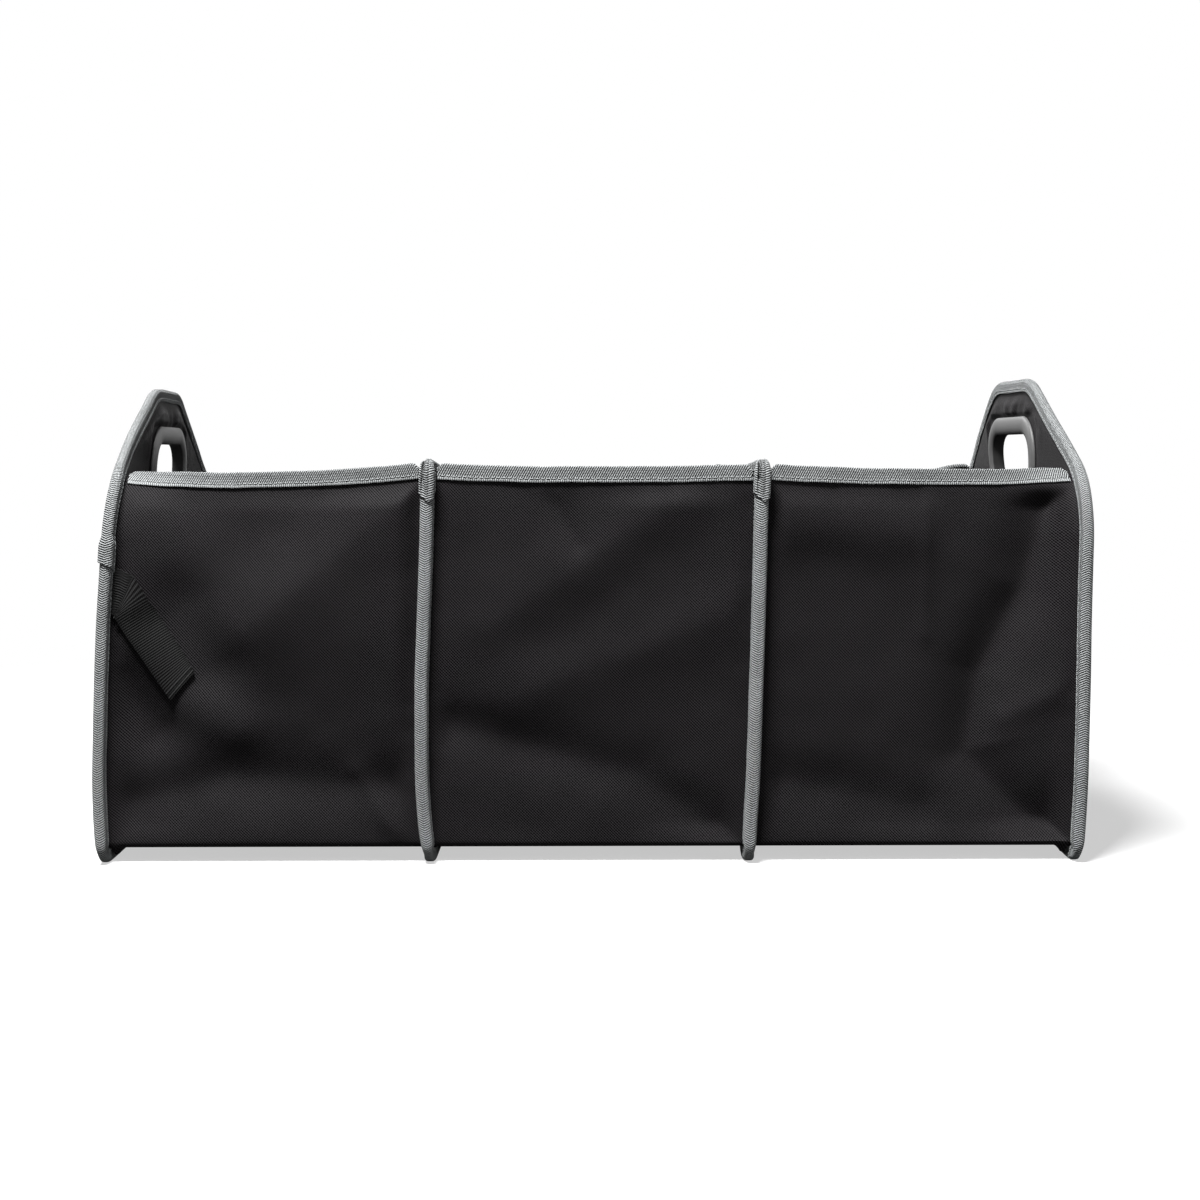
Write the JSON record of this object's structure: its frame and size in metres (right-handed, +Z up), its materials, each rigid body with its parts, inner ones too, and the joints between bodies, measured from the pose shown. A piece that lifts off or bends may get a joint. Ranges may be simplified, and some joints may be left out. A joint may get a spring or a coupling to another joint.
{
  "type": "car trunk organizer",
  "caption": "Foldable fabric storage box with open bays, stiff end panels with plastic hand grips, upright dividers, taped edges and a closing strap.",
  "frame": {"origin": "on the ground, under the middle of the box as it stands open", "axes": "+X along the row of bays to the right, +Y to the back, +Z up"},
  "size_m": [0.6022, 0.3022, 0.296],
  "materials": {
    "cloth": "black plain-woven polyester with a fine diagonal grain",
    "tape": "grey ribbed binding tape, stitched",
    "webbing": "black ribbed webbing",
    "grip_plastic": "dark grey moulded plastic, satin",
    "stiffener": "plain stiffening board, sewn in and out of sight",
    "base_board": "board covered in black cloth"
  },
  "bodies": {
    "root": {"left_end_outer_cloth": "cloth", "left_end_board": "stiffener", "left_end_inner_cloth": "cloth", "left_end_binding": "tape", "left_handle_inner_half": "grip_plastic", "left_handle_cover": "grip_plastic", "right_end_outer_cloth": "cloth", "right_end_board": "stiffener", "right_end_inner_cloth": "cloth", "right_end_binding": "tape", "right_handle_inner_half": "grip_plastic", "right_handle_cover": "grip_plastic", "left_divider_board": "stiffener", "left_divider_left_cloth": "cloth", "left_divider_right_cloth": "cloth", "left_divider_fin_binding": "tape", "left_divider_top_binding": "tape", "right_divider_board": "stiffener", "right_divider_left_cloth": "cloth", "right_divider_right_cloth": "cloth", "right_divider_fin_binding": "tape", "right_divider_top_binding": "tape", "left_bay_cloth": "cloth", "left_bay_front_hem": "tape", "left_bay_back_hem": "tape", "left_bay_base_board": "base_board", "middle_bay_cloth": "cloth", "middle_bay_front_hem": "tape", "middle_bay_back_hem": "tape", "middle_bay_base_board": "base_board", "right_bay_cloth": "cloth", "right_bay_front_hem": "tape", "right_bay_back_hem": "tape", "right_bay_base_board": "base_board", "closing_strap": "webbing"}
  },
  "joints": []
}
